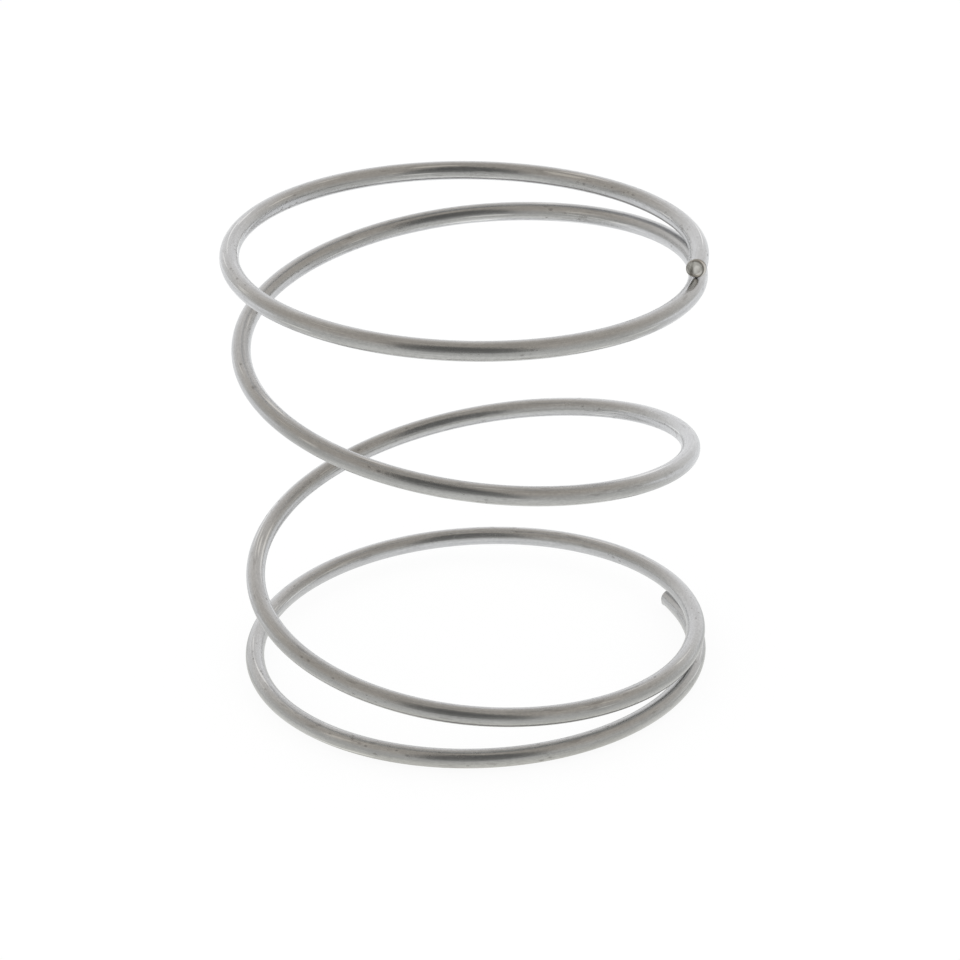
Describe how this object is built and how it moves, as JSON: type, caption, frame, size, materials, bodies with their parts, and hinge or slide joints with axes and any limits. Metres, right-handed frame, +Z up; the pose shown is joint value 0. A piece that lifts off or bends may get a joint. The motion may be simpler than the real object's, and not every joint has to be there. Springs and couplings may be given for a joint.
{
  "type": "valve spring",
  "caption": "Light helical compression spring of round steel wire, left-hand wound, with closed and unground ends, as used to close a poppet valve.",
  "frame": {"origin": "on the coil axis at the height of the lowest point of the wire, where the spring stands", "axes": "+Z up along the coil axis, from the lower seat to the upper one; the upper tip lies near +X and its cut face looks along -Y"},
  "size_m": [0.0451, 0.045, 0.0441],
  "materials": {
    "drawn_steel": "satin"
  },
  "bodies": {
    "root": {"spring_wire": "drawn_steel"}
  },
  "joints": []
}
